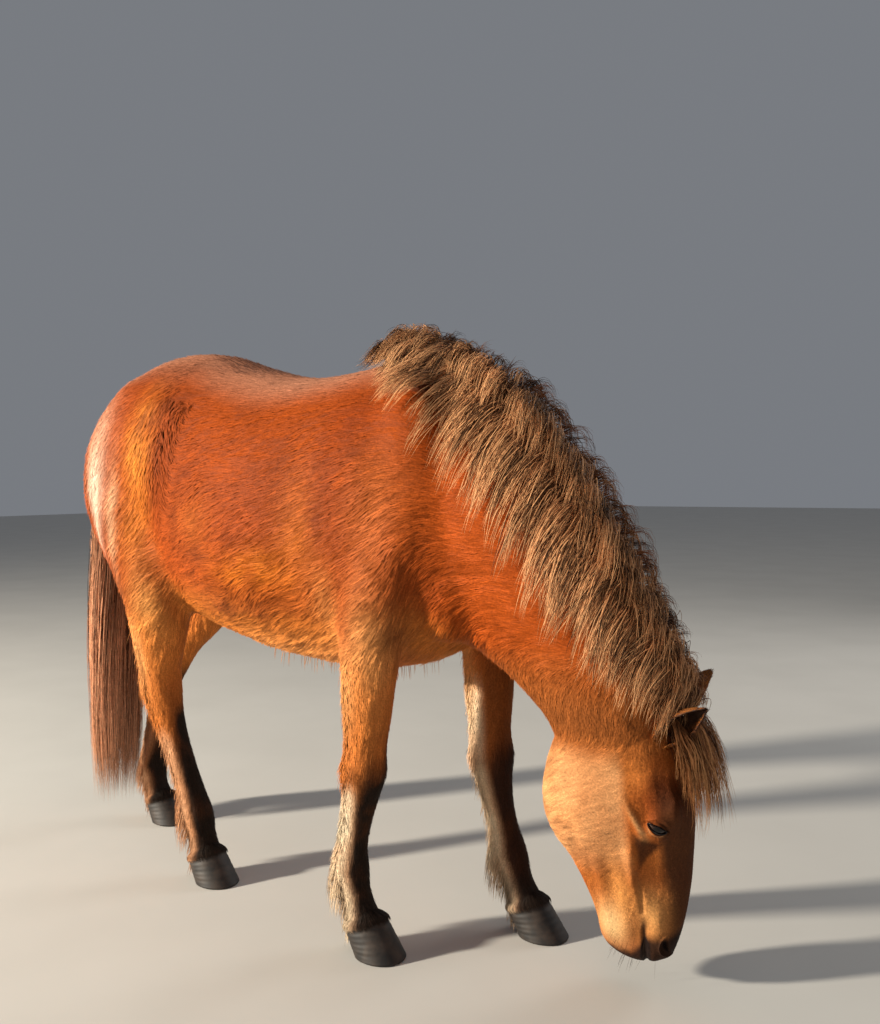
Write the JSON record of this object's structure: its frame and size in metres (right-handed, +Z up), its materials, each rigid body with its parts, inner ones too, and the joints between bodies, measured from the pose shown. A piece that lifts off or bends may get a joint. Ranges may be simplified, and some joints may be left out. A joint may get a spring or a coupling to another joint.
{
  "type": "Icelandic horse, grazing",
  "caption": "Life-size Icelandic horse with a thick winter coat, full mane and long tail, standing with its head down to graze.",
  "frame": {"origin": "on the floor, under the middle of the whole horse's bounding box", "axes": "+X towards the head along the body, +Y to the horse's left, +Z up"},
  "size_m": [1.9154, 0.5738, 1.3579],
  "materials": {
    "coat": "matt",
    "hair": "matt",
    "horn": "satin",
    "eye": "polished"
  },
  "bodies": {
    "root": {"ear_left": "coat", "ear_right": "coat", "eye_left": "eye", "eye_right": "eye", "forehoof_left": "horn", "forehoof_right": "horn", "foreleg_left": "coat", "foreleg_right": "coat", "head": "coat", "hind_hoof_left": "horn", "hind_hoof_right": "horn", "hind_leg_left": "coat", "hind_leg_right": "coat", "neck": "coat", "tail": "hair", "torso": "coat"}
  },
  "joints": []
}
